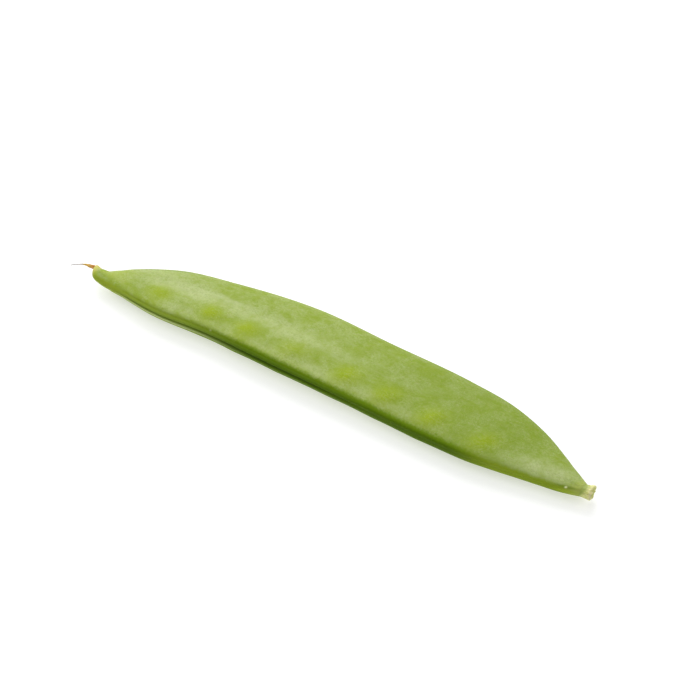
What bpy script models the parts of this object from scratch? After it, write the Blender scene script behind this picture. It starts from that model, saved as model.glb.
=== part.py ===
"""Snow pea pod lying on its flank on a flat surface.

Frame: metres, +Z up. +X runs along the pod from the blossom end to the stem end, -Y is the side of the
seam that carries the peas, +Y is the keeled back. The origin is on the surface, under the middle of the
whole footprint. The pod is one loft of square-on sections along a curved spine; the dried style stands off
its beak, and the broken-off stalk's stub closes the other end.
"""

import math

import bmesh
import bpy
import numpy as np

MM = 0.001
TINY = 1e-9  # keeps a division from meeting zero
SHARP = math.radians(40)  # edges steeper than this shade sharp

# Middle of the footprint, in the coordinates that the station table uses.
FOOTPRINT_MIDDLE = (-2.08, 4.22)

# The spine from beak to neck, in mm and degrees. The tilt drops the keel below the seam side.
#            x      y     z  half width  half thickness  tilt
STATIONS = (
    (-47.72, 1.60, 2.85, 0.32, 0.38, 0.0),
    (-47.33, 0.98, 2.75, 0.62, 0.58, 0.0),
    (-46.60, 0.37, 2.60, 1.13, 0.88, 2.0),
    (-45.00, 0.09, 2.45, 1.56, 1.10, 4.0),
    (-40.50, 1.29, 2.30, 3.63, 1.50, 6.0),
    (-34.00, 2.67, 2.20, 5.75, 1.80, 5.5),
    (-24.00, 4.12, 1.98, 6.94, 2.05, 7.0),
    (-10.00, 4.78, 1.92, 8.20, 2.10, 7.5),
    (5.00, 4.16, 1.92, 8.02, 2.10, 7.0),
    (20.00, 3.44, 1.89, 7.86, 2.05, 6.0),
    (28.00, 2.80, 1.96, 7.24, 1.95, 6.0),
    (34.00, 1.91, 2.07, 5.75, 1.80, 5.0),
    (39.50, 0.68, 2.20, 3.78, 1.55, 3.0),
    (41.50, 0.09, 2.25, 2.90, 1.43, 2.0),
    (43.50, -0.15, 2.30, 2.28, 1.30, 1.0),
    (44.80, -0.40, 2.30, 1.68, 1.20, 0.5),
    (46.00, -0.56, 2.30, 1.11, 1.12, 0.0),
)
BEAK_CAP = 0.40  # length of the beak's round end
RINGS = 84
END_CROWDING = 0.45  # share by which the rings draw together at both ends
RING_POINTS = 32
SEAM_CROWDING = 0.45  # share by which a ring's points draw together at the seam

# How the section departs from an ellipse: blunt at the seam, thinner and sharper at the keel.
BLUNTNESS = (0.75, 0.20)
TAPER = (0.91, 0.18)
# Sections this much wider than thick, and more, show all of that. Rounder ones come closer to an ellipse.
FULLY_FLAT = 3.2
# The lower wall is cut away at the seam: by this share of its depth, and this far in.
LOWER_CUT = (0.24, 1.3)

# The seam is a groove between two cords, with a shallow valley and a low shoulder where each flank begins.
# Each is height, distance from the seam's middle and spread along the skin, in mm.
SEAM_RELIEF = ((-0.18, 0.00, 0.24), (0.12, 0.46, 0.28), (-0.08, 0.88, 0.30), (0.10, 1.60, 0.55))
SEAM_MIDDLE = 0.33  # the middle lies this far above the section's edge

# Peas, unevenly spaced as they grew: place along the spine, and height that each lifts the wall.
PEAS = (
    (-32.7, 0.46),
    (-24.8, 0.64),
    (-16.2, 0.68),
    (-6.8, 0.64),
    (3.1, 0.76),
    (11.6, 0.72),
    (19.8, 0.66),
    (28.1, 0.50),
)
PEA_ROW = -0.52  # share of the half width, towards the seam
PEA_SPREAD = (2.2, 2.1)
UPPER_LIFT = 0.55  # share of the lift that shows in the upper wall, which is the more taut one

STUB_GAP = 0.34
STUB_SIDES = 20
STUB_TURN = math.radians(10.0)  # its way out, turned from +X to the keel's side
STUB_SWING = 0.15  # how far the stub curls to the keel's side, in mm for each square mm of its length
# Distance along the stub and its radius there.
STUB_PROFILE = ((0.00, 1.15), (0.42, 1.18), (0.80, 1.25), (1.18, 1.28), (1.50, 1.18))

# Route from beside the beak, in station coordinates, and the radius at each point.
STYLE_ROUTE = (
    (-48.10, 0.92, 2.88),
    (-48.80, 0.72, 2.90),
    (-49.49, 0.61, 2.85),
    (-50.39, 0.50, 2.70),
    (-51.95, -0.40, 2.45),
)
STYLE_RADII = (0.32, 0.22, 0.09, 0.05, 0.04)
STYLE_POINTS = 16


def clear_scene():
    for obj in list(bpy.data.objects):
        bpy.data.objects.remove(obj, do_unlink=True)


def skin(name, colour, roughness):
    material = bpy.data.materials.new(name)
    material.use_nodes = True
    shader = material.node_tree.nodes["Principled BSDF"]
    shader.inputs["Base Color"].default_value = (*colour, 1.0)
    shader.inputs["Roughness"].default_value = roughness
    shader.inputs["Metallic"].default_value = 0.0
    return material


def smooth_through(knots, rows, at):
    """Cubic Hermite curve through the rows at their knots, with three-point slopes (Catmull-Rom)."""
    knots, rows, at = (np.asarray(given, float) for given in (knots, rows, at))
    steps = np.diff(knots)[:, None]
    chords = np.diff(rows, axis=0) / steps
    inner = (chords[:-1] * steps[1:] + chords[1:] * steps[:-1]) / (steps[:-1] + steps[1:])
    slopes = np.vstack([chords[:1], inner, chords[-1:]])
    span = np.clip(np.searchsorted(knots, at, side="right") - 1, 0, len(knots) - 2)
    step = steps[span]
    t = (at - knots[span])[:, None] / step
    return (
        (1 + 2 * t) * (1 - t) ** 2 * rows[span]
        + t * (1 - t) ** 2 * step * slopes[span]
        + t**2 * (3 - 2 * t) * rows[span + 1]
        + t**2 * (t - 1) * step * slopes[span + 1]
    )


def chord_lengths(points):
    return np.concatenate([[0.0], np.cumsum(np.linalg.norm(np.diff(points, axis=0), axis=1))])


def in_frame(points):
    """Station coordinates in mm to the part's frame in metres."""
    return (np.asarray(points, float) - (*FOOTPRINT_MIDDLE, 0.0)) * MM


def bump(distance, spread):
    return np.exp(-((distance / spread) ** 2))


def spine_frame():
    """The spine sampled at each ring: its six station values, and unit vectors ahead, across and outward."""
    stations = np.array(STATIONS)
    knots = chord_lengths(stations[:, :3])
    # Rings crowd towards both ends, where the outline turns fastest.
    even = np.linspace(0.0, 1.0, RINGS)
    along = knots[-1] * ((1 - END_CROWDING) * even + END_CROWDING * (1 - np.cos(math.pi * even)) / 2)
    sampled = smooth_through(knots, stations, along)
    tilt = np.radians(sampled[:, 5])[:, None]

    ahead = np.gradient(sampled[:, :3], along, axis=0)
    ahead /= np.linalg.norm(ahead, axis=1)[:, None]
    level = np.cross((0.0, 0.0, 1.0), ahead)
    level /= np.linalg.norm(level, axis=1)[:, None]
    across = np.cos(tilt) * level - np.sin(tilt) * np.cross(ahead, level)
    return along, sampled, ahead, across, np.cross(ahead, across)


def pod_rings():
    """RINGS x RING_POINTS points, in mm: sections square to the spine, in station coordinates."""
    along, sampled, _, across, outward = spine_frame()
    spine, half_width, half_thickness = sampled[:, :3], sampled[:, 3], sampled[:, 4]
    cap = np.clip(1 - along / BEAK_CAP, 0.0, 1.0)
    closing = np.sqrt(1 - cap**2)
    width = (half_width * closing)[:, None]
    thickness = (half_thickness * closing)[:, None]

    # q runs from -1 at the seam to 1 at the keel.
    turn = np.linspace(0.0, 2 * math.pi, RING_POINTS, endpoint=False)[None, :]
    turn = turn - SEAM_CROWDING * np.sin(turn)
    q = -np.cos(turn)
    flatness = np.clip((half_width / half_thickness - 1) / (FULLY_FLAT - 1), 0.0, 1.0)[:, None]
    power = 1 + flatness * (BLUNTNESS[0] + BLUNTNESS[1] * q - 1)
    taper = 1 + flatness * (TAPER[0] - TAPER[1] * q - 1)
    side = np.sign(np.round(np.sin(turn), 9))
    cut = np.where(side < 0, LOWER_CUT[0], 0.0) * flatness * bump(width * (1 + q), LOWER_CUT[1])
    rise = side * np.abs(np.sin(turn)) ** power * taper * thickness * (1 - cut)

    from_edge = np.where(side < 0, -1.0, 1.0) * (np.abs(rise) + width * (1 + q))
    from_seam = np.abs(from_edge - SEAM_MIDDLE)
    relief = sum(height * bump(from_seam - place, spread) for height, place, spread in SEAM_RELIEF)
    relief = relief * flatness
    crosswise = width * (q - PEA_ROW)
    share = np.where(side > 0, UPPER_LIFT, 1.0)
    for place, lift in PEAS:
        lengthwise = spine[:, :1] - place
        relief = relief + share * lift * bump(lengthwise, PEA_SPREAD[0]) * bump(crosswise, PEA_SPREAD[1])

    facing = np.stack([q / np.maximum(width, TINY), rise / np.maximum(thickness, TINY) ** 2], axis=-1)
    facing /= np.maximum(np.linalg.norm(facing, axis=-1, keepdims=True), TINY)
    run = width * q + relief * facing[..., 0]
    rise = rise + relief * facing[..., 1]
    points = spine[:, None, :] + run[..., None] * across[:, None, :] + rise[..., None] * outward[:, None, :]
    # The soft wall flattens where it rests on the surface.
    points[..., 2] = np.maximum(points[..., 2], 0.0)
    return points


def stub_rings():
    """Rings of the stalk's stub: a short flared collar that starts a gap past the neck and curls slightly."""
    neck_end = np.array(STATIONS)[-1, :3]
    way_out = np.array((math.cos(STUB_TURN), math.sin(STUB_TURN), 0.0))
    turn = np.linspace(0.0, 2 * math.pi, STUB_SIDES, endpoint=False)
    circle = np.stack([0 * turn, -np.cos(turn), np.sin(turn)], axis=-1)
    rings = []
    for away, radius in STUB_PROFILE:
        curl = np.array((0.0, STUB_SWING * away**2, 0.0))
        rings.append(neck_end + way_out * (STUB_GAP + away) + curl + radius * circle)
    return np.array(rings)


def loft(name, rings, material, pointed=False):
    """One closed mesh from rings of points. A pointed start closes on the middle of its first ring."""
    mesh = bpy.data.meshes.new(name)
    shape = bmesh.new()
    loops = []
    for ring in rings[1:] if pointed else rings:
        corners = [shape.verts.new(point) for point in ring]
        pairs = zip(corners, corners[1:] + corners[:1])
        loops.append([shape.edges.new(pair) for pair in pairs])
    for first, second in zip(loops, loops[1:]):
        bmesh.ops.bridge_loops(shape, edges=first + second)
    if pointed:
        tip = shape.verts.new(np.mean(rings[0], axis=0))
        for edge in loops[0]:
            shape.faces.new((*edge.verts, tip))
    open_ends = [edge for edge in shape.edges if edge.is_boundary]
    bmesh.ops.holes_fill(shape, edges=open_ends, sides=0)
    bmesh.ops.recalc_face_normals(shape, faces=shape.faces)
    shape.to_mesh(mesh)
    shape.free()
    mesh.materials.append(material)
    mesh.shade_smooth()
    mesh.set_sharp_from_angle(angle=SHARP)
    obj = bpy.data.objects.new(name, mesh)
    bpy.context.scene.collection.objects.link(obj)
    return obj


def dried_style(material):
    """The withered style: a bent, tapering filament, built as a bevelled curve with filled ends."""
    route = np.array(STYLE_ROUTE)
    knots = chord_lengths(route)
    at = np.linspace(0.0, knots[-1], STYLE_POINTS)
    points = in_frame(smooth_through(knots, route, at))
    radii = smooth_through(knots, np.array(STYLE_RADII)[:, None], at)[:, 0] / STYLE_RADII[0]
    curve = bpy.data.curves.new("dried_style", "CURVE")
    curve.dimensions = "3D"
    curve.bevel_depth = STYLE_RADII[0] * MM
    curve.bevel_resolution = 2
    curve.use_fill_caps = True
    spline = curve.splines.new("POLY")
    spline.points.add(STYLE_POINTS - 1)
    for point, place, radius in zip(spline.points, points, radii):
        point.co = (*place, 1.0)
        point.radius = radius
    curve.materials.append(material)
    obj = bpy.data.objects.new("dried_style", curve)
    bpy.context.scene.collection.objects.link(obj)
    return obj


def main():
    clear_scene()
    loft("pod", in_frame(pod_rings()), skin("pod_green", (0.33, 0.43, 0.09), 0.5), pointed=True)
    loft("stem_stub", in_frame(stub_rings()), skin("stub_cream", (0.56, 0.57, 0.22), 0.6))
    dried_style(skin("style_brown", (0.55, 0.27, 0.08), 0.7))


main()
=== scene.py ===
"""A snow pea pod lying on its flank: the green pod, the pale stub of its broken stalk and its withered style.

Tables are in mm, in station coordinates: +X runs to the stem end and +Y to the keel. A point on the pod's
skin is told by its station along the spine, and by its distance along the skin from the edge where the seam
runs, which is positive over the upper flank and negative under the lower one.
"""

import math

import bpy
import numpy as np
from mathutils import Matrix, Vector


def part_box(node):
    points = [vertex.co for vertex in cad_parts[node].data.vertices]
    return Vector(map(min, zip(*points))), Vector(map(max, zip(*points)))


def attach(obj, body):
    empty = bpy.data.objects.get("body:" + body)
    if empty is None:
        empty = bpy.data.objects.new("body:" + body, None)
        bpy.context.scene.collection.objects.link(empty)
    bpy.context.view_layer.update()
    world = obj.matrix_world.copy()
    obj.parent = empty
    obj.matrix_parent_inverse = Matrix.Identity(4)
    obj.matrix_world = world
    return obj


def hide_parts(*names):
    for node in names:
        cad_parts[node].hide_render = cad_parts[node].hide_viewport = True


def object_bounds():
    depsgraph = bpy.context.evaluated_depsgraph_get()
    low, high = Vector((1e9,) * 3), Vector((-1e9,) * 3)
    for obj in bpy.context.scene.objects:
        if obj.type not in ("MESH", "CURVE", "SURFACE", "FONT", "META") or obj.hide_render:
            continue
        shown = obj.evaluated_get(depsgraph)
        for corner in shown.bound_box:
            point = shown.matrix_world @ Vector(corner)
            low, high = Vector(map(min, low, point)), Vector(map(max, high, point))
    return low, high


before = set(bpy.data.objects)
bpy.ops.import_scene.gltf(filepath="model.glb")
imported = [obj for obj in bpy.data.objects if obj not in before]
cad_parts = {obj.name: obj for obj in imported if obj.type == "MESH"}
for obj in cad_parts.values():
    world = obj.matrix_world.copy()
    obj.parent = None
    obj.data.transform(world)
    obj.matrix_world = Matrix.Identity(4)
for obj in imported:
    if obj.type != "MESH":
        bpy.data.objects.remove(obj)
cad_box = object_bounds()

MM = 0.001
# The station point that stands over the origin.
FOOTPRINT_MIDDLE = (-2.08, 4.22, 0.0)

# ---------------------------------------------------------------------------------------------- driving sizes

# The spine from beak to neck: x, y, z, half width, half thickness, tilt in degrees.
STATIONS = np.array(
    (
        (-47.72, 1.60, 2.85, 0.32, 0.38, 0.0),
        (-47.33, 0.98, 2.75, 0.70, 0.62, 0.0),
        (-46.60, 0.38, 2.60, 1.20, 0.90, 2.0),
        (-45.00, 0.09, 2.45, 1.56, 1.10, 4.0),
        (-43.00, 0.55, 2.35, 2.50, 1.30, 5.4),
        (-40.50, 1.29, 2.30, 3.63, 1.50, 6.0),
        (-34.00, 2.67, 2.20, 5.75, 1.80, 5.5),
        (-24.00, 4.12, 1.98, 6.94, 2.05, 7.0),
        (-10.00, 4.78, 1.92, 8.20, 2.10, 7.5),
        (5.00, 4.16, 1.92, 8.02, 2.10, 7.0),
        (20.00, 3.44, 1.89, 7.86, 2.05, 6.0),
        (28.00, 2.80, 1.96, 7.24, 1.95, 6.0),
        (34.00, 1.91, 2.07, 5.75, 1.80, 5.0),
        (39.50, 0.68, 2.20, 3.78, 1.55, 3.0),
        (41.50, 0.21, 2.25, 3.02, 1.43, 2.0),
        (43.50, -0.18, 2.30, 2.24, 1.30, 1.0),
        (44.80, -0.40, 2.30, 1.67, 1.20, 0.5),
        (46.00, -0.56, 2.30, 1.11, 1.12, 0.0),
    )
)
# How far from each end the pod starts to round off.
BEAK_CAP = 0.40
NECK_CAP = 0.30
# The end rings stop at this share of the way to a point.
CAP_STOP = 0.999
# The number of rings, and how much more closely they stand at the ends, from 0 to 1.
RINGS = 560
END_CROWDING = 0.60
# A flat section's power and height halfway across, and how far the power rises and the height falls from
# there to the keel.
BLUNTNESS = (0.75, 0.20)
TAPER = (0.91, 0.18)
# Sections this much wider than thick, and more, show all of that. Rounder ones come closer to an ellipse.
FULLY_FLAT = 3.2
# The lower wall is cut away at the seam: by this share of its depth, and this far in.
LOWER_CUT = (0.24, 1.3)

# How closely the points of a section stand, in mm: on the flanks, at the seam and at the keel.
FLANK_STEP = 0.31
SEAM_STEP = 0.085
KEEL_STEP = 0.13

# The seam: how far above the edge its middle lies, then the height, distance from there and spread of each of
# its lines, which are a groove, the two cords beside it, a valley beside each cord and a swell outside that.
SEAM_MIDDLE = 0.33
CORD = (0.46, 0.24)
SEAM_RELIEF = ((-0.20, 0.00, 0.15), (0.13, *CORD), (-0.08, 0.88, 0.26), (0.10, 1.60, 0.55))
# The dark line beside each cord, painted shade in its valley, and the one inside the keel's bead: distance
# and spread.
DARK_LINE = (0.90, 0.26)
INNER_LINE = (0.95, 0.30)
# The seam's lines draw together where the pod is thinner than this half thickness, at most to this share.
SEAM_THINNING = (2.0, 0.80)

# Peas: station, distance from the seam, lift of the lower wall, strength of the colour that shows through.
PEAS = (
    (-34.2, 4.3, 0.46, 1.00),
    (-24.1, 4.4, 0.64, 1.10),
    (-16.8, 4.1, 0.68, 1.15),
    (-7.7, 4.4, 0.64, 0.70),
    (3.0, 4.6, 0.76, 1.10),
    (10.6, 4.3, 0.72, 0.95),
    (19.3, 4.3, 0.66, 1.00),
    (29.0, 4.2, 0.50, 0.85),
)
# The share of the lift that shows in the upper wall, which is the more taut one.
UPPER_LIFT = 0.42
# How far a pea's bell leans from the pod's length, and how far it reaches along its lean and across it.
PEA_LEAN = math.radians(38.0)
PEA_REACH = (2.5, 1.9)

# Heights of the rest of the relief: the swollen row of peas and the trough above it, the keel's bead and the
# line inside it, wrinkles on the shoulder, veins, folds and a crease in the neck, ribs on the beak, scars.
ROW_SWELL = 0.10
TROUGH_DEPTH = 0.16
KEEL_BEAD = 0.07
KEEL_LINE = 0.06
WRINKLES = 0.020
VEINS = 0.012
NECK_FOLDS = 0.05
NECK_CREASE = 0.10
BEAK_RIBS = 0.02
SCAR_LIFT = 0.05
# Slow dents and swells of a wall that has wilted slightly: wavelength, seed, height.
DENTS = ((11.0, 2, 0.07), (3.2, 3, 0.022))
# Third coordinate of the skin's own place, which tells the upper flank's pattern from the lower one's.
FLANK_SIDE = 40.0

# Small pale scars where the skin was nicked: station, distance from the seam, radius, strength.
SCARS = ((43.7, 0.95, 0.16, 1.00), (-22.6, 1.35, 0.13, 0.40))

# The stub's way out, turned from +X to the keel's side, and how far it curls, in mm for each square mm.
STUB_TURN = math.radians(5.0)
STUB_SWING = 0.15
# Which way its rings face: with the neck where it begins, and further round at the rim.
NECK_HEADING = math.radians(-8.0)
RIM_HEADING = math.radians(5.0)
# Its outline, down to the middle of the hollow: distance past the neck's end, and size next to the neck's.
STUB_PROFILE = np.array(
    (
        (-1.60, 0.84),
        (-1.05, 0.915),
        (-0.60, 0.955),
        (-0.15, 1.00),
        (0.30, 1.01),
        (0.65, 1.05),
        (0.95, 1.12),
        (1.20, 1.14),
        (1.38, 1.06),
        (1.50, 0.90),
        (1.56, 0.70),
        (1.54, 0.50),
        (1.47, 0.28),
        (1.48, 0.04),
    )
)
# Ripples around it: how many, height, phase. Lobes are shares of the radius, and tears move the rim in mm.
STUB_LOBES = ((3, 0.035, 0.8), (5, 0.030, -1.1), (11, 0.015, 2.0))
STUB_TEARS = ((2, 0.07, 0.4), (7, 0.04, 0.0), (13, 0.02, 1.0))
# The height of its fine folds, as a share of the radius, and its rings and points around.
STUB_FOLDS = 0.018
STUB_GRID = (130, 150)

# The style: the middles of its rings, their radii, and its rings and points around.
STYLE_ROUTE = np.array(
    (
        (-47.40, 1.16, 2.84),
        (-48.00, 1.00, 2.88),
        (-48.85, 0.81, 2.92),
        (-49.60, 0.74, 2.89),
        (-50.45, 0.54, 2.73),
        (-52.00, -0.36, 2.50),
    )
)
STYLE_RADII = np.array((0.32, 0.39, 0.30, 0.17, 0.085, 0.070))
STYLE_GRID = (220, 48)

# ------------------------------------------------------------------------------------- colours, as linear RGB

SKIN = {
    "leaf": (0.250, 0.338, 0.026),
    "pale leaf": (0.320, 0.400, 0.096),
    "drift": (0.430, 0.500, 0.215),
    # Darker green towards the stem: partly the skin's own colour and partly painted shade where less light
    # reaches.
    "stem side": (0.185, 0.270, 0.022),
    # Milky skin: partly a waxy coat and partly painted sheen from the back light.
    "wax_and_sheen": (0.500, 0.560, 0.265),
    "pea": (0.290, 0.380, 0.000),
    # The band, line, cord and groove colours are painted shade along the seam, over its own deeper green: the
    # band where the flank turns away from the light, the lines in its valleys and the groove in its furrow.
    "band edge": (0.140, 0.235, 0.001),
    "band core": (0.078, 0.142, 0.001),
    "band end": (0.240, 0.325, 0.015),
    "beak band": (0.290, 0.370, 0.026),
    "line": (0.070, 0.130, 0.001),
    "line end": (0.200, 0.280, 0.012),
    "cord": (0.082, 0.148, 0.002),
    "cord end": (0.215, 0.295, 0.035),
    "under cord": (0.100, 0.170, 0.008),
    # Pale beak end of the under cord: painted light, as if thrown up from the floor.
    "under cord end": (0.560, 0.630, 0.300),
    "groove": (0.040, 0.085, 0.001),
    "groove end": (0.115, 0.180, 0.010),
    "keel bead": (0.420, 0.490, 0.190),
    "keel line": (0.140, 0.220, 0.015),
    "keel edge": (0.120, 0.190, 0.008),
    "beak": (0.400, 0.470, 0.055),
    # Straw yellow brightened into a painted highlight.
    "nose": (0.700, 0.620, 0.190),
    "neck": (0.400, 0.455, 0.100),
    "neck streak": (0.330, 0.430, 0.030),
    # Painted shade in the neck's crease, carrying on the seam's valley lines.
    "neck line": (0.150, 0.225, 0.010),
    "dark dust": (0.190, 0.285, 0.012),
    "dark grain": (0.150, 0.240, 0.010),
    "pale grain": (0.460, 0.530, 0.240),
    "vein": (0.470, 0.545, 0.270),
    "pore": (0.650, 0.680, 0.420),
    "scar": (0.800, 0.840, 0.440),
}
FLESH = {
    "straw": (0.530, 0.560, 0.130),
    "cream": (0.760, 0.750, 0.320),
    "fresh": (0.370, 0.450, 0.085),
    "root": (0.285, 0.365, 0.040),
    "rim": (0.860, 0.760, 0.500),
    "hollow": (0.560, 0.600, 0.090),
    "bruise": (0.380, 0.310, 0.080),
}
HUSK = {
    "rust": (0.640, 0.270, 0.030),
    "honey": (0.700, 0.440, 0.060),
    "brown": (0.300, 0.230, 0.150),
    "thread": (0.270, 0.255, 0.240),
    # Painted shade for the husk's underside.
    "under": (0.340, 0.120, 0.020),
    "furrow": (0.300, 0.130, 0.030),
}

# ----------------------------------------------------------------------------------- floor, lights and camera

# Half the floor's width, and how far it lies below the pod, in metres.
FLOOR_HALF = 1.5
FLOOR_DROP = 0.00002
# Softboxes: name, azimuth, elevation, distance and size in metres, power in watts.
SOFTBOXES = (
    ("back_softbox", 215.0, 42.0, 0.70, 0.55, 3.9),
    ("top_softbox", 300.0, 70.0, 0.80, 0.60, 2.1),
)
# The camera: the point it looks at, past the middle of the pod's box in mm, and where it stands from there.
CAMERA_AIM = (2.20, 2.20, 0.20)
CAMERA_AZIMUTH, CAMERA_ELEVATION, CAMERA_DISTANCE = 29.19, 50.0, 0.29265
CAMERA_LENS = 90.0


# -------------------------------------------------------------------------------------------- shape functions


def bump(distance, spread):
    """A bell: 1 at distance 0, falling off as the exponential of minus the squared share of the spread."""
    return np.exp(-((distance / spread) ** 2))


def step_up(value, low, high):
    """0 below low, 1 above high, and a cubic ease between them."""
    share = np.clip((value - low) / (high - low), 0.0, 1.0)
    return share * share * (3 - 2 * share)


def step_down(value, low, high):
    """1 below low, 0 above high, and a cubic ease between them."""
    return step_up(-value, -high, -low)


def between(value, rise, fall):
    """0 before the rise and after the fall, 1 between them, and eased over both."""
    return step_up(value, *rise) * step_down(value, *fall)


def ripples(turn, waves_around):
    """The sum of cosines of whole multiples of the turn. Each is told by its multiple, height and phase."""
    return sum(height * np.cos(multiple * turn + phase) for multiple, height, phase in waves_around)


def smooth_through(knots, rows, at):
    """Cubic Hermite curve through the rows at their knots, with three-point slopes (Catmull-Rom)."""
    steps = np.diff(knots)[:, None]
    chords = np.diff(rows, axis=0) / steps
    inner = (chords[:-1] * steps[1:] + chords[1:] * steps[:-1]) / (steps[:-1] + steps[1:])
    slopes = np.vstack([chords[:1], inner, chords[-1:]])
    span = np.clip(np.searchsorted(knots, at, side="right") - 1, 0, len(knots) - 2)
    step = steps[span]
    t = (at - knots[span])[:, None] / step
    return (
        (1 + 2 * t) * (1 - t) ** 2 * rows[span]
        + t * (1 - t) ** 2 * step * slopes[span]
        + t**2 * (3 - 2 * t) * rows[span + 1]
        + t**2 * (t - 1) * step * slopes[span + 1]
    )


def chord_lengths(points):
    """Distance along a line of points, from its first one: the running sum of its chords."""
    return np.concatenate([[0.0], np.cumsum(np.linalg.norm(np.diff(points, axis=0), axis=1))])


def unit(vectors):
    """Vectors divided by their own length."""
    return vectors / np.maximum(np.linalg.norm(vectors, axis=-1, keepdims=True), 1e-12)


def waves(points, wavelength, seed, count=30):
    """Smooth random swells: the sum of plane waves near one wavelength, in seeded directions and phases."""
    dice = np.random.default_rng(seed)
    directions = unit(dice.normal(size=(count, 3)))
    lengths = wavelength * dice.uniform(0.75, 1.4, count)
    phases = dice.uniform(0.0, 2 * math.pi, count)
    turns = points @ (directions / lengths[:, None]).T
    return np.cos(turns * 2 * math.pi + phases).sum(-1) / math.sqrt(count)


def grid_normals(grid):
    """Unit normals of a grid that closes around its second axis: the cross product of its two differences."""
    forward = np.gradient(grid, axis=0)
    around = np.roll(grid, -1, axis=1) - np.roll(grid, 1, axis=1)
    return unit(np.cross(forward, around))


def frames_along(centres, up=(0.0, 0.0, 1.0)):
    """Unit vectors ahead along a line of points, level across it, and square to both."""
    ahead = unit(np.gradient(centres, axis=0))
    across = unit(np.cross(up, ahead))
    return ahead, across, np.cross(ahead, across)


# ---------------------------------------------------------------------------------------------- mesh building


def in_frame(points):
    """Points in station coordinates, turned to metres in the frame."""
    return (points - FOOTPRINT_MIDDLE) * MM


def box_fit(points, node):
    """The stretch and shift, axis by axis, that make points fill the box of the CAD node they stand for."""
    low, high = (np.array(corner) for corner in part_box(node))
    flat = points.reshape(-1, 3)
    own_low, own_high = flat.min(0), flat.max(0)
    stretch = (high - low) / (own_high - own_low)
    return stretch, low - own_low * stretch


def fitted(points, fit):
    """Points times the fit's stretch, plus its shift."""
    stretch, shift = fit
    return points * stretch + shift


def closed_loft(name, grid, node, material, marks):
    """A closed mesh from rings of points in metres. The middles of the end rings are its two poles.

    marks holds one value, or one vector, for each point of the grid; each becomes an attribute of that name.
    """
    rings, around = grid.shape[:2]
    poles = np.stack([grid[0].mean(0), grid[-1].mean(0)])
    vertices = np.concatenate([grid.reshape(-1, 3), poles])
    here = np.arange(rings * around).reshape(rings, around)
    beside = np.roll(here, -1, axis=1)
    quads = np.stack([here[:-1], here[1:], beside[1:], beside[:-1]], axis=-1).reshape(-1, 4)
    first, last = rings * around, rings * around + 1
    starts = np.stack([here[0], beside[0], np.full(around, first)], axis=-1)
    ends = np.stack([beside[-1], here[-1], np.full(around, last)], axis=-1)
    mesh = bpy.data.meshes.new(name)
    mesh.from_pydata(vertices.tolist(), [], quads.tolist() + starts.tolist() + ends.tolist())

    # One UV square, unrolled: across it runs around the piece, and up it runs along the piece.
    column = np.arange(around)
    u = np.stack([column, column, column + 1, column + 1], axis=-1) / around
    row = (np.arange(rings - 1)[:, None] + 1) / (rings + 1)
    rise = 1 / (rings + 1)
    quad_uv = np.empty((rings - 1, around, 4, 2))
    quad_uv[..., 0] = u
    quad_uv[..., 1] = np.stack([row, row + rise, row + rise, row], axis=-1)
    start_uv, end_uv = np.empty((2, around, 3, 2))
    start_uv[..., 0] = np.stack([column, column + 1, column + 0.5], axis=-1) / around
    start_uv[..., 1] = rise, rise, 0.0
    end_uv[..., 0] = np.stack([column + 1, column, column + 0.5], axis=-1) / around
    end_uv[..., 1] = 1 - rise, 1 - rise, 1.0
    unrolled = np.concatenate([part.reshape(-1, 2) for part in (quad_uv, start_uv, end_uv)])
    mesh.uv_layers.new(name="OFBake").data.foreach_set("uv", unrolled.astype(np.float32).ravel())

    for title, values in marks.items():
        values = np.asarray(values, np.float32)
        size = values.shape[2:]
        flat = values.reshape(rings * around, *size)
        whole = np.concatenate([flat, values[:1].mean(1), values[-1:].mean(1)])
        kind, field = ("FLOAT_VECTOR", "vector") if size else ("FLOAT", "value")
        mesh.attributes.new(title, kind, "POINT").data.foreach_set(field, whole.ravel())
    mesh.shade_smooth()
    mesh.materials.append(material)
    piece = bpy.data.objects.new(name, mesh)
    bpy.context.scene.collection.objects.link(piece)
    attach(piece, "root")
    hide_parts(node)


# ---------------------------------------------------------------------------------------------------- the pod


def section(turn, half_width, half_thickness):
    """One section's run across and rise outward, for turns from the seam (0) over the keel (pi) and back.

    The run is minus the cosine. The rise is a power of the sine, below 1 so that the seam's end is blunt,
    times a taper towards the keel. A round section, near either end of the pod, keeps a plain circle: its
    flatness, which is given back too, is 0.
    """
    q = -np.cos(turn)
    flatness = np.clip((half_width / half_thickness - 1) / (FULLY_FLAT - 1), 0.0, 1.0)
    power = 1 + flatness * (BLUNTNESS[0] + BLUNTNESS[1] * q - 1)
    taper = 1 + flatness * (TAPER[0] - TAPER[1] * q - 1)
    rise = np.sign(np.round(np.sin(turn), 9)) * np.abs(np.sin(turn)) ** power * taper
    return q, rise, flatness


def turns_around():
    """Turns whose points stand a chosen step apart on the widest section, closer at the seam and the keel."""
    width, thickness = STATIONS[:, 3].max(), STATIONS[:, 4].max()
    fine = math.pi * np.linspace(0.0, 1.0, 6000) ** 2.5
    q, rise, _ = section(fine, width, thickness)
    distance = chord_lengths(np.stack([width * q, thickness * rise], axis=-1))
    closeness = (
        1 / FLANK_STEP
        + (1 / SEAM_STEP - 1 / FLANK_STEP) * bump(distance, 2.0)
        + (1 / KEEL_STEP - 1 / FLANK_STEP) * bump(distance - distance[-1], 1.4)
    )
    count = np.concatenate([[0.0], np.cumsum((closeness[1:] + closeness[:-1]) / 2 * np.diff(distance))])
    side = int(round(count[-1]))
    over = np.interp(np.linspace(0.0, count[-1], side + 1), count, fine)
    return np.concatenate([over, 2 * math.pi - over[-2:0:-1]])


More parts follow.
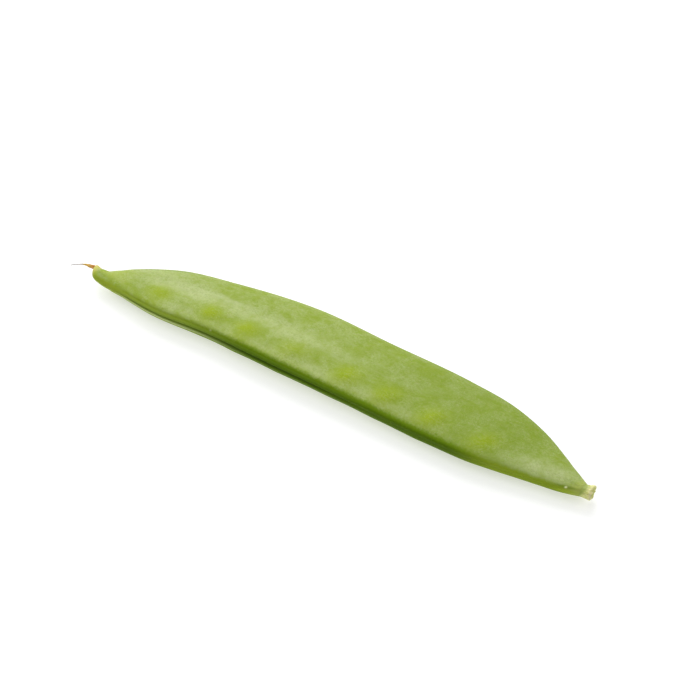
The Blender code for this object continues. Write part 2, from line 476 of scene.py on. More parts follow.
def pod_base():
    """The pod without relief: blunt sections, square to a curved spine, drawn to a point at both ends.

    Gives back the grid and, for each of its points, the station, the run across the section from -1 at the
    seam to 1 at the keel, and how far the seam's lines are drawn together.
    """
    knots = chord_lengths(STATIONS[:, :3])
    even = np.linspace(0.0, 1.0, RINGS)
    along = knots[-1] * ((1 - END_CROWDING) * even + END_CROWDING * (1 - np.cos(math.pi * even)) / 2)
    sampled = smooth_through(knots, STATIONS, along)
    _, level, _ = frames_along(sampled[:, :3])
    ahead = unit(np.gradient(sampled[:, :3], along, axis=0))
    tilt = np.radians(sampled[:, 5])[:, None]
    across = np.cos(tilt) * level - np.sin(tilt) * np.cross(ahead, level)
    outward = np.cross(ahead, across)

    beak_cap = np.clip(1 - along / BEAK_CAP, 0.0, CAP_STOP)
    neck_cap = np.clip(1 - (knots[-1] - along) / NECK_CAP, 0.0, CAP_STOP)
    closing = np.sqrt(1 - (beak_cap + neck_cap) ** 2)[:, None]
    turn = turns_around()[None, :]
    half_width, half_thickness = sampled[:, 3:4], sampled[:, 4:5]
    q, rise, flatness = section(turn, half_width, half_thickness)
    run = half_width * closing * q
    cut = np.where(rise < 0, LOWER_CUT[0], 0.0) * flatness * bump((1 + q) * half_width, LOWER_CUT[1])
    rise = half_thickness * closing * rise * (1 - cut)
    grid = sampled[:, None, :3] + run[..., None] * across[:, None, :] + rise[..., None] * outward[:, None, :]
    tight = np.clip(half_thickness / SEAM_THINNING[0], SEAM_THINNING[1], 1.0)
    return grid, sampled[:, :1] + 0 * rise, q + 0 * rise, tight + 0 * rise


def distances_around(grid):
    """Distances along the skin from the seam's edge and from the keel: running sums of the steps around.

    The first one is positive over the top and negative underneath.
    """
    around = grid.shape[1]
    steps = np.linalg.norm(np.roll(grid, -1, axis=1) - grid, axis=2)
    run = np.concatenate([np.zeros((len(grid), 1)), np.cumsum(steps, axis=1)], axis=1)
    keel = around // 2
    over = run[:, :-1]
    signed = np.where(np.arange(around) <= keel, over, over - run[:, -1:])
    return signed, np.abs(over - run[:, keel : keel + 1])


def pea_mark(x, w, which):
    """How much of each pea shows: a leaning bell around its place, on both flanks.

    which picks the column of the table that tells the bell's height.
    """
    total = 0.0
    for pea in PEAS:
        lengthwise, crosswise = x - pea[0], np.abs(w) - pea[1]
        steep = lengthwise * math.cos(PEA_LEAN) + crosswise * math.sin(PEA_LEAN)
        shallow = crosswise * math.cos(PEA_LEAN) - lengthwise * math.sin(PEA_LEAN)
        total = total + pea[which] * bump(steep, PEA_REACH[0]) * bump(shallow, PEA_REACH[1])
    return total


def edge_relief(x, from_seam, keel, tight):
    """Bells across the seam make its cords, groove and valleys, and bells across the keel its bead and line.

    The seam is sharpest towards the beak and nearly smooth towards the stem. Both edges fade at both ends.
    """
    carved = tight * between(x, (-46.5, -37.0), (36.0, 45.0))
    creased = (1.0 - 0.85 * step_up(x, -6.0, 14.0)) * step_up(x, -45.5, -38.0)
    seam = creased * sum(height * bump(from_seam - place, spread) for height, place, spread in SEAM_RELIEF)
    line = KEEL_LINE * bump(keel - INNER_LINE[0], INNER_LINE[1]) * (1.0 - 0.5 * step_up(x, -34.0, -20.0))
    return carved * (seam + KEEL_BEAD * bump(keel, 0.42) - line)


def wall_relief(base, x, w, keel, lie):
    """Bells lift the wall over the peas, and seeded waves wrinkle, vein and dent it."""
    away = np.abs(w)
    relief = pea_mark(x, w, 2) * np.where(w > 0, UPPER_LIFT, 1.0)

    # The row of peas swells as a whole, and the wall above the first ones sinks in a long shallow trough.
    relief += ROW_SWELL * between(x, (-40.0, -30.0), (24.0, 36.0)) * bump(away - 4.8, 2.6)
    trough = between(x, (-41.0, -34.0), (-16.0, 2.0))
    relief -= TROUGH_DEPTH * trough * bump(away - 7.6 - 0.09 * (x + 30), 1.5)

    # Wrinkles across the shoulder, strongest between peas, and faint veins that lean over the flank.
    inside = between(x, (-46.6, -44.5), (44.8, 46.2))
    no_pea = 1.0 - np.clip(pea_mark(x, np.full_like(w, 4.9), 3), 0.0, 1.0)
    shoulder = bump(np.abs(w - SEAM_MIDDLE) - 2.3, 0.75) * (0.35 + 0.65 * no_pea)
    crumpled = 0.7 * waves(base, 0.95, 5) + 0.7 * waves(base, 1.9, 6)
    relief += WRINKLES * inside * shoulder * crumpled * step_down(x, 18.0, 34.0)
    flank = step_up(away, 2.0, 5.0) * step_up(keel, 0.6, 4.0)
    leaning = (lie - 0.75 * lie[..., 1:2] * (1, 0, 0)) * (1.0, 0.12, 1.0)
    relief += VEINS * inside * flank * waves(leaning, 2.4, 8)
    dents = sum(height * waves(base, wavelength, seed) for wavelength, seed, height in DENTS)
    return relief + inside * flank * dents


def end_relief(x, w, q):
    """Cosines of the angle around the pod fold its neck, beside one crease, and faintly rib its beak."""
    angle = np.sign(w) * np.arccos(np.clip(-q, -1.0, 1.0))
    neck = between(x, (40.0, 44.0), (44.9, 45.6))
    beak = between(x, (-47.6, -47.0), (-45.0, -42.0))
    folds = NECK_FOLDS * np.cos(5 * angle + 0.6) - NECK_CREASE * bump(angle - 1.15, 0.16)
    return neck * folds + BEAK_RIBS * beak * np.cos(7 * angle + 1.0)


def pod(material):
    """The pod: its base, pushed along its normals by the relief of its edges, wall and ends, and flat below.

    Gives back the fit to its CAD box, which the pieces at its two ends follow.
    """
    base, x, q, tight = pod_base()
    w, keel = distances_around(base)
    from_seam = np.abs(w / tight - SEAM_MIDDLE)
    lie = np.stack([x, w, np.sign(w) * FLANK_SIDE], axis=-1)
    scar = sum(bump(x - at, size) * bump(w - away, size) * strength for at, away, size, strength in SCARS)
    relief = edge_relief(x, from_seam, keel, tight) + wall_relief(base, x, w, keel, lie)
    relief += end_relief(x, w, q) + SCAR_LIFT * scar
    grid = base + relief[..., None] * grid_normals(base)
    grid[..., 2] = np.maximum(grid[..., 2], 0.0)
    marks = {
        "lie": lie,
        "seam": from_seam,
        "under": step_down(w / tight, SEAM_MIDDLE - 0.15, SEAM_MIDDLE + 0.15),
        "keel": keel,
        "pea": np.clip(pea_mark(x, w, 3), 0.0, 1.0),
        "wax_and_sheen_mask": wax_and_sheen_mask(x, w),
        "scar": scar,
    }
    fit = box_fit(in_frame(grid), "pod")
    closed_loft("pod_skin", fitted(in_frame(grid), fit), "pod", material, marks)
    return fit


def wax_and_sheen_mask(x, w):
    """Where the skin is painted pale: partly a milky waxy coat, and partly painted sheen where the back light
    would shine on it. Along the back near the beak, above the peas, and beside the neck.

    A sum of soft patches, each a bell or an ease along the pod times one across it, held between 0 and 1.
    """
    away = np.abs(w)
    back = between(x, (-46.0, -42.0), (-38.0, -22.0)) * step_up(away, 4.0, 7.5)
    above = between(x, (-40.0, -30.0), (-10.0, 8.0)) * bump(away - 8.0 - 0.04 * (x + 20), 2.0)
    shoulder = between(x, (-38.0, -32.0), (8.0, 30.0)) * bump(away - 2.9, 1.0)
    # A painted highlight on the saddle behind the beak.
    saddle = bump(x + 44.0, 1.5) * step_up(away, 2.0, 3.6)
    stem = bump(x - 39.5, 5.5) * bump(away - 2.9, 1.8)
    # A painted highlight along the fold above the first peas.
    fold_line = 9.4 - 3.4 * np.exp(-(x + 36.3) / 5.5)
    fold = between(x, (-38.0, -34.0), (-26.0, -17.0)) * bump(away - fold_line, 0.50)
    beside_peas = 0.75 * above + 0.55 * shoulder + 1.1 * fold
    at_ends = 0.6 * back + 0.8 * saddle + 1.1 * stem
    return np.clip(beside_peas + at_ends, 0.0, 1.0)


# --------------------------------------------------------------------------------------------- stub and style


def stub(material, fit):
    """The stalk's stub: it sheathes the neck, flares to a torn rim and sinks in a rough hollow.

    The neck's own ellipse, carried along the spine and past its end on a short curl, and scaled by a profile
    of distance past the neck's end. Lobes and folds swing the radius by cosines of the turn around it, and
    they grow towards the rim.
    """
    rings, around = STUB_GRID
    distance = chord_lengths(STUB_PROFILE)
    past, scale = smooth_through(distance, STUB_PROFILE, np.linspace(0.0, distance[-1], rings)).T
    turn = np.linspace(0.0, 2 * math.pi, around, endpoint=False)[None, :]
    past, scale = past[:, None] + 0 * turn, scale[:, None] + 0 * turn

    knots = chord_lengths(STATIONS[:, :3])
    sampled = smooth_through(knots, STATIONS, knots[-1] + np.minimum(past[:, 0], 0.0))
    way_out = np.array((math.cos(STUB_TURN), math.sin(STUB_TURN), 0.0))
    facing = NECK_HEADING + (RIM_HEADING - NECK_HEADING) * step_up(past, -0.4, 1.2)
    across = np.stack([-np.sin(facing), np.cos(facing), 0 * facing], axis=-1)
    outward = np.array((0.0, 0.0, 1.0))
    rim = step_up(past, 0.5, 1.25)
    lobes = ripples(turn, STUB_LOBES) * (0.2 * step_up(past, -0.4, 0.4) + rim)
    folds = STUB_FOLDS * np.cos(14 * turn + 1.5 * np.sin(2 * turn)) * step_up(past, -0.5, 0.4)
    scale = scale * (1 + lobes + folds)
    torn = rim * ripples(turn, STUB_TEARS)
    beyond = np.maximum(past, 0.0) + torn * np.minimum(scale, 1.0)
    curl = STUB_SWING * np.maximum(beyond - 0.3, 0.0) ** 2
    centre = sampled[:, None, :3] + beyond[..., None] * way_out + curl[..., None] * (0.0, 1.0, 0.0)
    run = -np.cos(turn) * scale * sampled[:, 3:4]
    rise = np.sin(turn) * scale * sampled[:, 4:5]
    grid = centre + run[..., None] * across + rise[..., None] * outward
    rough = waves(grid, 0.42, 12) * 0.030 + waves(grid, 0.9, 13) * 0.035
    grid = grid + (rough * step_up(past, 0.0, 0.7))[..., None] * grid_normals(grid)
    order = np.linspace(0.0, 1.0, rings)[:, None] + 0 * turn
    marks = {
        "lie": np.stack([past, turn + 0 * past, 0 * past], axis=-1),
        "fresh": step_up(0.55 * np.maximum(np.sin(turn), 0.0) - past, -0.35, 0.35),
        "rim": step_up(past, 0.6, 1.25),
        "hollow": step_up(order, 0.68, 0.84),
    }
    closed_loft("stem_stub_flesh", fitted(in_frame(grid), fit), "stem_stub", material, marks)


def style(material, fit):
    """The withered style: a flattened, twisted husk with lengthwise grooves that ends in a hair-thin thread.

    An ellipse carried along the route. Its radius falls with the distance, its flatness grows, it turns as it
    goes, and cosines of the turn around it fold its skin.
    """
    knots = chord_lengths(STYLE_ROUTE)
    rings, around = STYLE_GRID
    at = np.linspace(0.0, knots[-1], rings)
    centre = smooth_through(knots, STYLE_ROUTE, at)
    radius = smooth_through(knots, STYLE_RADII[:, None], at)
    share = (at / knots[-1])[:, None]
    _, across, outward = frames_along(centre)
    turn = np.linspace(0.0, 2 * math.pi, around, endpoint=False)[None, :]
    husk = 1 - step_up(share, 0.42, 0.60)
    twist = -0.3 + 1.6 * share
    grooves = husk * (0.10 * np.cos(5 * turn + 6 * share) + 0.05 * np.cos(9 * turn - 11 * share))
    pinch = 1 + 0.06 * np.cos(38 * share + 1.0) * husk
    wide = radius * pinch * (1 + grooves)
    thick = wide * (1 - 0.25 * husk)
    side = np.sin(turn) * thick
    lift = np.cos(turn) * wide
    run = side * np.cos(twist) - lift * np.sin(twist)
    rise = side * np.sin(twist) + lift * np.cos(twist)
    sway = (1 - husk) * 0.05
    centre = centre + sway * np.sin(18 * share) * across + 0.8 * sway * np.cos(15 * share) * outward
    grid = centre[:, None, :] + run[..., None] * across[:, None, :] + rise[..., None] * outward[:, None, :]
    marks = {
        "lie": np.stack([at[:, None] + 0 * turn, turn + 0 * share, 0 * turn + 0 * share], axis=-1),
        "dry": share + 0 * turn,
        "under": step_down(rise / radius, -0.8, 0.2),
    }
    closed_loft("dried_style_husk", fitted(in_frame(grid), fit), "dried_style", material, marks)


# ----------------------------------------------------------------------------------------------- shader nodes


def node(tree, kind, inputs=None, **settings):
    """A shader node with these settings. inputs gives its sockets by name or number.

    Where an input is another node's socket it is linked, and where it is a value it is set.
    """
    made = tree.nodes.new("ShaderNode" + kind)
    for name, value in settings.items():
        setattr(made, name, value)
    for key, value in (inputs or {}).items():
        if isinstance(value, bpy.types.NodeSocket):
            tree.links.new(value, made.inputs[key])
        else:
            made.inputs[key].default_value = value
    return made


def maths(tree, operation, *values, clamp=False):
    """The result of a Math node's operation on values or sockets."""
    return node(tree, "Math", dict(enumerate(values)), operation=operation, use_clamp=clamp).outputs[0]


def times(tree, one, other):
    """The product of two values or sockets."""
    return maths(tree, "MULTIPLY", one, other)


def plus(tree, one, other):
    """The sum of two values or sockets."""
    return maths(tree, "ADD", one, other)


def opaque(colour):
    """A colour's socket as it is, or its red, green and blue with full alpha."""
    return colour if isinstance(colour, bpy.types.NodeSocket) else (*colour, 1.0)


def mix(tree, amount, under, over):
    """Colour over laid on colour under by that amount."""
    inputs = {0: amount, 6: opaque(under), 7: opaque(over)}
    return node(tree, "Mix", inputs, data_type="RGBA", clamp_factor=True).outputs[2]


def ease(tree, value, low, high, start=0.0, end=1.0):
    """start below low, end above high, eased between them. low may be above high."""
    inputs = {"Value": value, "From Min": low, "From Max": high, "To Min": start, "To Max": end}
    return node(tree, "MapRange", inputs, interpolation_type="SMOOTHSTEP").outputs[0]


def pulse(tree, value, middle, spread):
    """A bell around middle: the exponential of minus the squared share of the spread."""
    away = maths(tree, "DIVIDE", maths(tree, "SUBTRACT", value, middle), spread)
    return maths(tree, "EXPONENT", times(tree, times(tree, away, away), -1.0))


def noise(tree, place, size, detail=2.0, roughness=0.5, distortion=0.0):
    """Noise whose features are about size across, in the units of the place."""
    inputs = {
        "Vector": place,
        "Scale": 1 / size,
        "Detail": detail,
        "Roughness": roughness,
        "Distortion": distortion,
    }
    return node(tree, "TexNoise", inputs).outputs[0]


def mark(tree, name, field="Fac"):
    """One of the marks that closed_loft leaves on a piece, as a value, or as a vector with field Vector."""
    return node(tree, "Attribute", attribute_name=name).outputs[field]


def new_group(name, inputs, outputs):
    """An empty shader node group: its tree, its input sockets by name, and the sockets to feed by name."""
    tree = bpy.data.node_groups.new(name, "ShaderNodeTree")
    for title, kind in inputs.items():
        tree.interface.new_socket(name=title, in_out="INPUT", socket_type="NodeSocket" + kind)
    for title, kind in outputs.items():
        tree.interface.new_socket(name=title, in_out="OUTPUT", socket_type="NodeSocket" + kind)
    entry = tree.nodes.new("NodeGroupInput")
    leaving = tree.nodes.new("NodeGroupOutput")
    return tree, entry.outputs, leaving.inputs


def use_group(tree, group, inputs):
    """The outputs, by name, of a node group fed with these inputs."""
    return node(tree, "Group", inputs, node_tree=group).outputs


def cell_grain_group():
    """Plant skin close up: rounded cells, a finer granular speckle, and slow cloudy patches."""
    tree, given, gives = new_group(
        "plant_cells",
        {"Place": "Vector", "Cell Size": "Float", "Cloud Size": "Float"},
        {"Cells": "Float", "Speckle": "Float", "Clouds": "Float"},
    )
    cell_scale = maths(tree, "DIVIDE", 1.0, given["Cell Size"])
    cloud_scale = maths(tree, "DIVIDE", 1.0, given["Cloud Size"])
    place = given["Place"]
    cells = node(tree, "TexVoronoi", {"Vector": place, "Scale": cell_scale, "Randomness": 0.9})
    tree.links.new(cells.outputs["Distance"], gives["Cells"])
    grains = {"Vector": place, "Scale": times(tree, cell_scale, 0.8), "Detail": 2.5, "Roughness": 0.62}
    tree.links.new(node(tree, "TexNoise", grains).outputs[0], gives["Speckle"])
    patches = {"Vector": place, "Scale": cloud_scale, "Detail": 3.5, "Roughness": 0.6, "Distortion": 0.5}
    tree.links.new(node(tree, "TexNoise", patches).outputs[0], gives["Clouds"])
    return tree


def fibre_group():
    """Fibres that follow the surface: noise drawn out along one direction of its lie."""
    tree, given, gives = new_group(
        "plant_fibres",
        {"Lie": "Vector", "Along": "Float", "Apart": "Float"},
        {"Fibres": "Float"},
    )
    parts = node(tree, "SeparateXYZ", {0: given["Lie"]}).outputs
    along = maths(tree, "DIVIDE", parts[0], given["Along"])
    apart = maths(tree, "DIVIDE", parts[1], given["Apart"])
    drawn = node(tree, "CombineXYZ", {0: along, 1: apart, 2: parts[2]}).outputs[0]
    fibres = noise(tree, drawn, 1.0, detail=3.0, roughness=0.6, distortion=0.3)
    tree.links.new(fibres, gives["Fibres"])
    return tree


def new_material(name, **constants):
    """A material with a Principled BSDF whose named sockets hold these constants."""
    material = bpy.data.materials.new(name)
    material.use_nodes = True
    shader = material.node_tree.nodes["Principled BSDF"]
    for socket, value in constants.items():
        shader.inputs[socket.replace("_", " ")].default_value = value
    return material, material.node_tree, shader


def place_in_mm(tree):
    """Object coordinates, in mm."""
    place = node(tree, "TexCoord").outputs["Object"]
    return node(tree, "VectorMath", {0: place, "Scale": 1 / MM}, operation="SCALE").outputs[0]


def surface(tree, shader, colour, rough, height, strength, lift):
    """Feed a shader its colour, its roughness and a bump of that height, with a strength and a lift in mm."""
    tree.links.new(colour, shader.inputs["Base Color"])
    tree.links.new(rough, shader.inputs["Roughness"])
    raised = node(tree, "Bump", {"Strength": strength, "Distance": lift * MM, "Height": height})
    tree.links.new(raised.outputs[0], shader.inputs["Normal"])


# -------------------------------------------------------------------------------------------------- materials


def flank_colour(tree, lie, along, skin, mottles):
    """Cloudy greens, darker towards the stem with painted shade over a deeper green, pale with a waxy coat
    and painted sheen, and yellow over the peas.
    """
    cloudy = plus(tree, times(tree, skin["Clouds"], 0.6), times(tree, mottles, 0.4))
    colour = mix(tree, ease(tree, cloudy, 0.38, 0.62), SKIN["leaf"], SKIN["pale leaf"])
    drawn = node(tree, "VectorMath", {0: lie, 1: (0.22, 1.0, 1.0)}, operation="MULTIPLY").outputs[0]
    drifts = noise(tree, drawn, 1.7)
    colour = mix(tree, ease(tree, drifts, 0.46, 0.72, 0.0, 0.19), colour, SKIN["drift"])
    # Darker towards the stem end: partly a deeper green and partly painted shade, as less light reaches it.
    stem_side = times(tree, ease(tree, along, -8.0, 32.0, 0.0, 0.5), ease(tree, along, 41.0, 34.0, 0.3, 1.0))
    colour = mix(tree, stem_side, colour, SKIN["stem side"])
    # Pale where the skin is milky: partly a waxy coat and partly painted sheen from the back light.
    wax_and_sheen = times(tree, mark(tree, "wax_and_sheen_mask"), ease(tree, cloudy, 0.30, 0.62, 0.50, 1.0))
    colour = mix(tree, times(tree, wax_and_sheen, 0.75), colour, SKIN["wax_and_sheen"])
    pea = times(tree, mark(tree, "pea"), ease(tree, mottles, 0.25, 0.60, 0.65, 1.0))
    return mix(tree, times(tree, pea, 0.95), colour, SKIN["pea"])


def seam_colour(tree, colour, along, seam, skin, mottles):
    """Painted shade over the seam's own deeper green: a ragged dark band where the flank turns from the
    light, lighter at both ends, a dark line of painted shade beside each cord and a dark groove between them.
    """
    beak_side = ease(tree, along, -12.0, -34.0)
    ends = plus(tree, beak_side, ease(tree, along, 23.5, 34.0))
    band = mix(tree, ease(tree, seam, 1.10, 0.45), SKIN["band edge"], SKIN["band core"])
    band = mix(tree, ends, band, SKIN["band end"])
    band = mix(tree, ease(tree, along, -35.0, -42.0), band, SKIN["beak band"])
    frayed = plus(tree, times(tree, skin["Speckle"], 0.8), times(tree, mottles, 0.3))
    ragged = plus(tree, seam, maths(tree, "SUBTRACT", frayed, 0.55))
    ragged = plus(tree, ragged, times(tree, ends, 0.42))
    colour = mix(tree, ease(tree, ragged, 1.85, 0.95), colour, band)

    # The lines and the groove, which paint shade into the valleys and the furrow, are drawn over the band,
    # and fade towards the stem and on the beak.
    past_beak = ease(tree, along, -44.0, -39.0, 0.1, 1.0)
    creased = times(tree, ease(tree, along, 10.0, -6.0, 0.12, 0.85), past_beak)
    faint = times(tree, creased, ease(tree, ends, 0.0, 0.6, 0.25, 0.42))
    line = mix(tree, ends, SKIN["line"], SKIN["line end"])
    colour = mix(tree, times(tree, pulse(tree, seam, *DARK_LINE), faint), colour, line)
    upper_cord = mix(tree, ends, SKIN["cord"], SKIN["cord end"])
    # On the beak side the under cord is painted pale: painted light from below.
    under_cord = mix(tree, beak_side, SKIN["under cord"], SKIN["under cord end"])
    cord = mix(tree, mark(tree, "under"), upper_cord, under_cord)
    colour = mix(tree, times(tree, pulse(tree, seam, *CORD), creased), colour, cord)
    groove = mix(tree, ends, SKIN["groove"], SKIN["groove end"])
    return mix(tree, times(tree, pulse(tree, seam, 0.0, 0.20), creased), colour, groove)


def keel_colour(tree, colour, along):
    """Near the beak a pale bead with a dark line inside it, and towards the stem a thin dark edge."""
    keel = mark(tree, "keel")
    amounts = {
        "keel bead": times(tree, ease(tree, keel, 0.75, 0.25), ease(tree, along, 2.0, -14.0)),
        "keel line": times(tree, pulse(tree, keel, *INNER_LINE), ease(tree, along, -26.0, -34.0)),
        "keel edge": times(tree, ease(tree, keel, 0.60, 0.15), ease(tree, along, -6.0, 10.0)),
    }
    for name, amount in amounts.items():
        colour = mix(tree, times(tree, amount, 0.6), colour, SKIN[name])
    return colour


def end_colour(tree, colour, along, around, seam, skin):
    """Both ends turn straw yellow, the nose brighter with a painted highlight, and a light streak runs up to
    the stub between dark lines of painted shade.
    """
    beak = times(tree, ease(tree, along, -38.5, -43.5), ease(tree, seam, 1.6, 2.8, 0.0, 0.45))
    colour = mix(tree, beak, colour, SKIN["beak"])
    # The nose: straw yellow with a painted highlight.
    nose = times(tree, ease(tree, along, -46.2, -47.6), ease(tree, skin["Clouds"], 0.2, 0.6, 0.6, 1.0))
    colour = mix(tree, times(tree, nose, 0.85), colour, SKIN["nose"])
    oblique = maths(tree, "SUBTRACT", along, times(tree, around, 0.35))
    neck = ease(tree, oblique, 42.8, 45.0)
    colour = mix(tree, times(tree, neck, 0.85), colour, SKIN["neck"])
    near_stub = times(tree, ease(tree, along, 41.0, 43.5), ease(tree, along, 45.5, 44.2, 0.3, 1.0))
    streak = times(tree, pulse(tree, seam, 0.05, 0.32), near_stub)
    colour = mix(tree, times(tree, streak, 0.8), colour, SKIN["neck streak"])
    # Dark lines of painted shade in the neck's crease, beside the streak.
    beside = times(tree, pulse(tree, seam, *DARK_LINE), near_stub)
    return mix(tree, times(tree, beside, 0.6), colour, SKIN["neck line"])


def fine_colour(tree, colour, place, seam, skin, veins):
    """Dust, grain and veins away from the seam, a few pale breathing pores, and the scars."""
    off_seam = ease(tree, seam, 1.0, 1.8)
    dusty = times(tree, off_seam, ease(tree, skin["Clouds"], 0.35, 0.65, 0.4, 1.0))
    dust = noise(tree, place, 0.19, detail=1.0)
    # Specks, the value where they show most, how much they show there, and their colour.
    layers = (
        (dust, 0.34, 0.26, "dark dust"),
        (dust, 0.68, 0.20, "pale grain"),
        (skin["Speckle"], 0.34, 0.26, "dark grain"),
        (skin["Speckle"], 0.68, 0.22, "pale grain"),
    )
    for specks, strongest, most, name in layers:
        amount = times(tree, ease(tree, specks, 0.50, strongest, 0.0, most), dusty)
        colour = mix(tree, amount, colour, SKIN[name])
    vein = times(tree, ease(tree, veins, 0.52, 0.80, 0.0, 0.14), off_seam)
    colour = mix(tree, vein, colour, SKIN["vein"])
    pores = node(tree, "TexVoronoi", {"Vector": place, "Scale": 1 / 4.7, "Randomness": 1.0})
    pore = ease(tree, pores.outputs["Distance"], 0.045, 0.025, 0.0, 0.35)
    colour = mix(tree, pore, colour, SKIN["pore"])
    scar = maths(tree, "MULTIPLY", mark(tree, "scar"), 1.3, clamp=True)
    return mix(tree, scar, colour, SKIN["scar"])


def pod_material(cells, fibres):
    """Waxy pea green: milky over the back, partly a waxy coat and partly painted sheen, yellow where peas
    show through, and painted shade along the seam over its own deeper green.
    """
    material, tree, shader = new_material(
        "pod_skin",
        Subsurface_Weight=0.22,
        Subsurface_Scale=0.0011,
        Subsurface_Radius=(0.6, 1.0, 0.25),
        IOR=1.33,
        Specular_IOR_Level=0.13,
    )
    place = place_in_mm(tree)
    lie = mark(tree, "lie", "Vector")
    along, around, _ = node(tree, "SeparateXYZ", {0: lie}).outputs
    seam = mark(tree, "seam")
    skin = use_group(tree, cells, {"Place": place, "Cell Size": 0.34, "Cloud Size": 3.4})
    mottles = noise(tree, place, 1.3)
    veins = use_group(tree, fibres, {"Lie": lie, "Along": 2.2, "Apart": 0.5})["Fibres"]
    colour = flank_colour(tree, lie, along, skin, mottles)
    colour = seam_colour(tree, colour, along, seam, skin, mottles)
    colour = keel_colour(tree, colour, along)
    colour = end_colour(tree, colour, along, around, seam, skin)
    colour = fine_colour(tree, colour, place, seam, skin, veins)

    grain = plus(tree, times(tree, skin["Speckle"], 0.7), times(tree, skin["Cells"], 0.3))
    fine = ease(tree, grain, 0.25, 0.65)
    rough = plus(tree, ease(tree, skin["Clouds"], 0.3, 0.7, 0.36, 0.46), times(tree, fine, 0.06))
    height = plus(tree, grain, times(tree, veins, 0.6))
    surface(tree, shader, colour, rough, height, strength=0.30, lift=0.06)
    return material


def stub_material(cells, fibres):
    """Broken stalk: fibres of straw and cream, green at its root, pale along its rim, with brown specks."""
    material, tree, shader = new_material(
        "stub_flesh",
        Subsurface_Weight=0.30,
        Subsurface_Scale=0.0008,
        Subsurface_Radius=(1.0, 0.9, 0.4),
    )
    lie = mark(tree, "lie", "Vector")
    past, _, _ = node(tree, "SeparateXYZ", {0: lie}).outputs
    flesh = use_group(tree, cells, {"Place": place_in_mm(tree), "Cell Size": 0.16, "Cloud Size": 0.9})
    streaks = use_group(tree, fibres, {"Lie": lie, "Along": 1.6, "Apart": 0.16})["Fibres"]
    colour = mix(tree, ease(tree, streaks, 0.35, 0.65), FLESH["straw"], FLESH["cream"])
    colour = mix(tree, mark(tree, "fresh"), colour, FLESH["fresh"])
    colour = mix(tree, ease(tree, past, 0.35, -0.30, 0.0, 0.75), colour, FLESH["root"])
    rim = times(tree, mark(tree, "rim"), ease(tree, flesh["Clouds"], 0.35, 0.60, 0.3, 1.0))
    colour = mix(tree, times(tree, rim, 0.6), colour, FLESH["rim"])
    colour = mix(tree, times(tree, mark(tree, "hollow"), 0.8), colour, FLESH["hollow"])
    colour = mix(tree, ease(tree, flesh["Speckle"], 0.40, 0.30, 0.0, 0.45), colour, FLESH["bruise"])
    rough = ease(tree, flesh["Clouds"], 0.3, 0.7, 0.40, 0.62)
    surface(tree, shader, colour, rough, plus(tree, streaks, flesh["Speckle"]), strength=0.5, lift=0.07)
    return material


def style_material(fibres):
    """Dried husk: rust at the base, honey in the middle, grey at the thread, and painted shade underneath."""
    material, tree, shader = new_material("style_husk", Subsurface_Weight=0.10, Subsurface_Scale=0.0003)
    dry, lie = mark(tree, "dry"), mark(tree, "lie", "Vector")
    streaks = use_group(tree, fibres, {"Lie": lie, "Along": 0.5, "Apart": 0.35})["Fibres"]
    colour = mix(tree, ease(tree, dry, 0.10, 0.34), HUSK["rust"], HUSK["honey"])
    colour = mix(tree, ease(tree, dry, 0.48, 0.60), colour, HUSK["brown"])
    colour = mix(tree, ease(tree, dry, 0.62, 0.80), colour, HUSK["thread"])
    # Painted shade on the underside of the husk.
    shaded = times(tree, mark(tree, "under"), ease(tree, dry, 0.5, 0.3, 0.0, 0.6))
    colour = mix(tree, shaded, colour, HUSK["under"])
    colour = mix(tree, ease(tree, streaks, 0.62, 0.38, 0.0, 0.35), colour, HUSK["furrow"])
    rough = ease(tree, streaks, 0.3, 0.7, 0.45, 0.75)
    surface(tree, shader, colour, rough, streaks, strength=0.5, lift=0.04)
    return material


# ------------------------------------------------------------------------------------------------------ stage


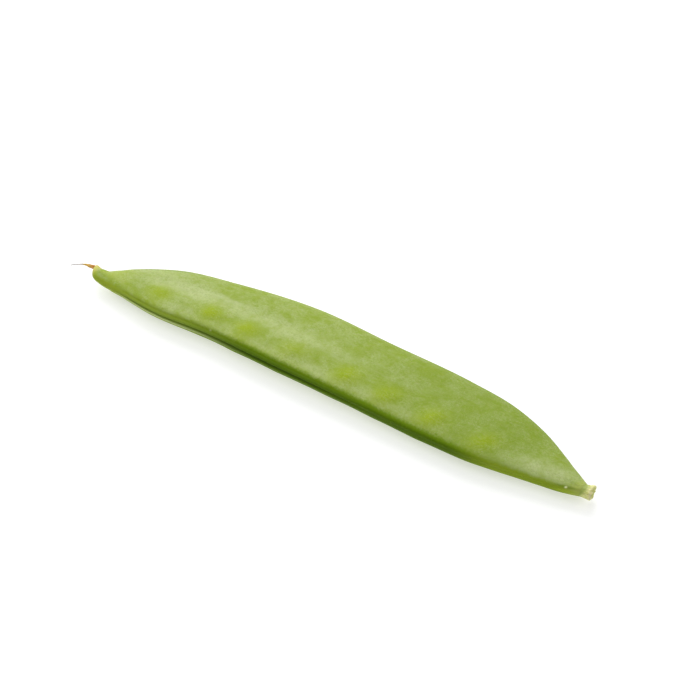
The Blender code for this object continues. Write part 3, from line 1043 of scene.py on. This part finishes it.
def floor():
    """A wide, plain, near-white floor just under the pod."""
    mesh = bpy.data.meshes.new("floor")
    ring = ((-1, -1), (1, -1), (1, 1), (-1, 1))
    mesh.from_pydata([(x * FLOOR_HALF, y * FLOOR_HALF, -FLOOR_DROP) for x, y in ring], [], [(0, 1, 2, 3)])
    material, _, _ = new_material(
        "pale_floor",
        Base_Color=(0.66, 0.66, 0.66, 1.0),
        Roughness=0.8,
        Specular_IOR_Level=0.2,
        Emission_Color=(1.0, 1.0, 1.0, 1.0),
        Emission_Strength=0.48,
    )
    mesh.materials.append(material)
    made = bpy.data.objects.new("floor", mesh)
    bpy.context.scene.collection.objects.link(made)


def towards(azimuth, elevation):
    """A unit vector, by angles in degrees. Azimuth 0 leads to the pod's front, and 90 to its stem end."""
    a, e = math.radians(azimuth), math.radians(elevation)
    return Vector((math.sin(a) * math.cos(e), -math.cos(a) * math.cos(e), math.sin(e)))


def lights(aim):
    """Two large softboxes, behind and above the pod and facing it, and a pale sky for fill."""
    for name, azimuth, elevation, distance, size, power in SOFTBOXES:
        back = towards(azimuth, elevation)
        lamp = bpy.data.lights.new(name, "AREA")
        lamp.size = size
        lamp.energy = power
        made = bpy.data.objects.new(name, lamp)
        made.location = aim + back * distance
        made.rotation_euler = (-back).to_track_quat("-Z", "Y").to_euler()
        bpy.context.scene.collection.objects.link(made)
    world = bpy.data.worlds.new("pale_sky")
    world.use_nodes = True
    sky = world.node_tree.nodes["Background"]
    sky.inputs["Color"].default_value = (0.96, 0.98, 1.0, 1.0)
    sky.inputs["Strength"].default_value = 0.38
    bpy.context.scene.world = world


def camera(middle):
    """A long lens, from the front and to the right, looking down on the pod."""
    back = towards(CAMERA_AZIMUTH, CAMERA_ELEVATION)
    lens = bpy.data.cameras.new("camera")
    lens.lens = CAMERA_LENS
    lens.sensor_width = 36.0
    lens.clip_start = 0.01
    made = bpy.data.objects.new("camera", lens)
    made.location = middle + Vector(CAMERA_AIM) * MM + back * CAMERA_DISTANCE
    made.rotation_mode = "QUATERNION"
    made.rotation_quaternion = (-back).to_track_quat("-Z", "Y")
    bpy.context.scene.collection.objects.link(made)
    bpy.context.scene.camera = made


def main():
    """Build every piece and the stage around them."""
    middle = (cad_box[0] + cad_box[1]) / 2
    cells, fibres = cell_grain_group(), fibre_group()
    fit = pod(pod_material(cells, fibres))
    stub(stub_material(cells, fibres), fit)
    style(style_material(fibres), fit)
    floor()
    lights(middle)
    camera(middle)
    bpy.context.scene.view_settings.view_transform = "Standard"


main()
bpy.context.view_layer.update()
